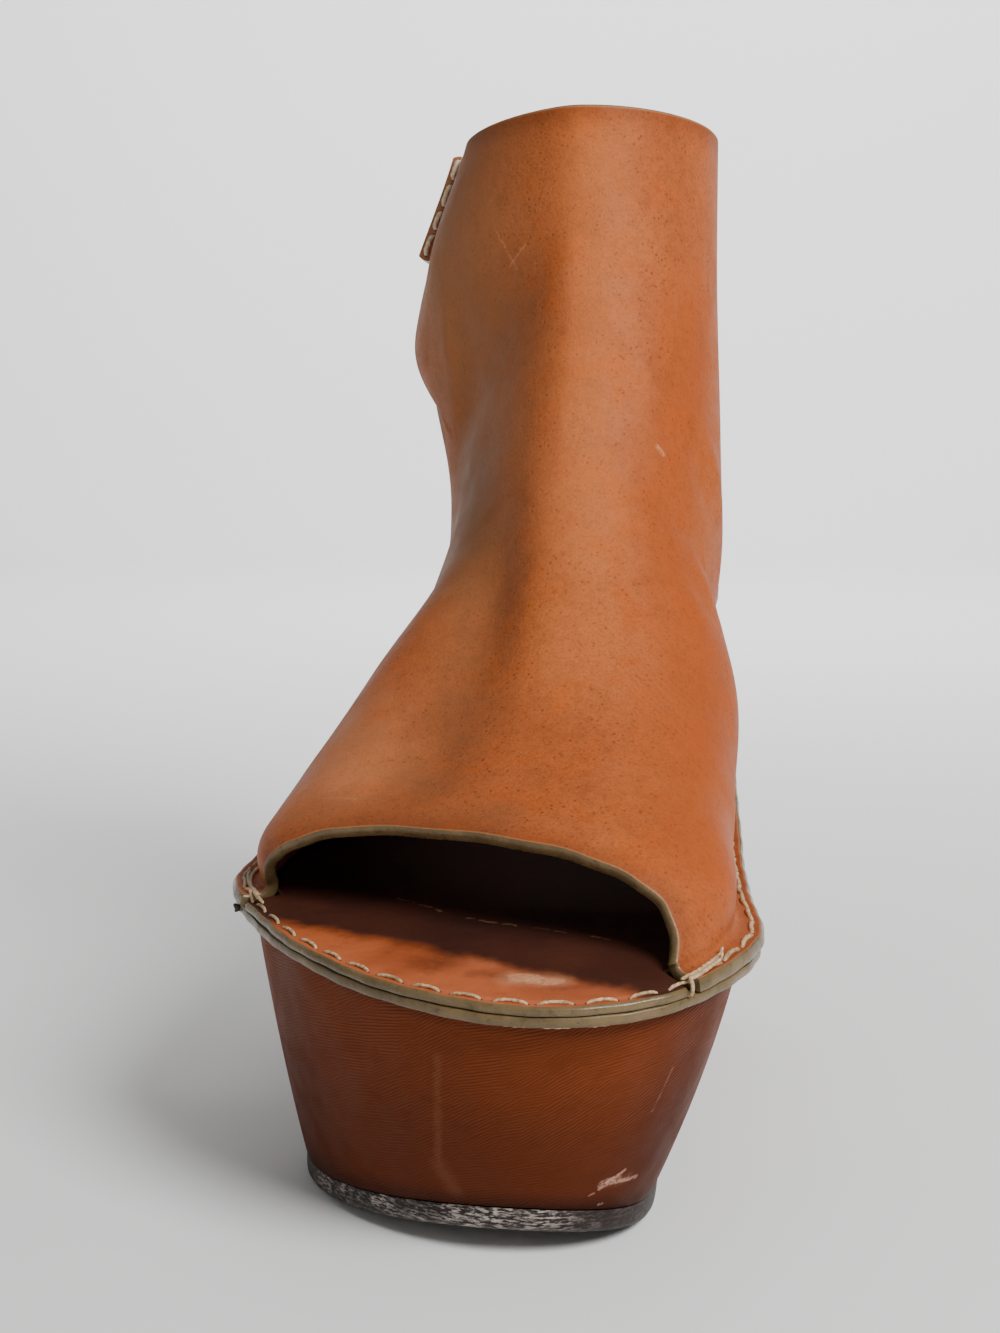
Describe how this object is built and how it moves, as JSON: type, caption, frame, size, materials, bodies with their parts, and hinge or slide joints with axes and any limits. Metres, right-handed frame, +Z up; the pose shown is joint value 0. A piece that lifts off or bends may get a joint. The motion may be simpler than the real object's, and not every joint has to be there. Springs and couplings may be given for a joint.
{
  "type": "platform wedge sandal",
  "caption": "Right open-toed leather sandal on a high platform wedge, with a tall ankle cuff, open heel, back strap and thick pale stitching along a raw-edged ledge.",
  "frame": {"origin": "on the floor, under the centre of the shoe's bounding box", "axes": "+X towards the inner side of the foot, +Y from toe to heel, +Z up"},
  "size_m": [0.1082, 0.236, 0.224],
  "materials": {
    "outsole_rubber": "matt, worn pale along the edge",
    "cover_leather": "satin, fine creases",
    "insole_leather": "polished by wear",
    "tan_leather": "satin, raw cut edges",
    "strap_leather": "satin, raw cut edges",
    "thread": "waxed, twisted"
  },
  "bodies": {
    "root": {"outsole": "outsole_rubber", "wedge": "cover_leather", "insole": "insole_leather", "upper": "tan_leather", "back_strap": "strap_leather"}
  },
  "joints": []
}
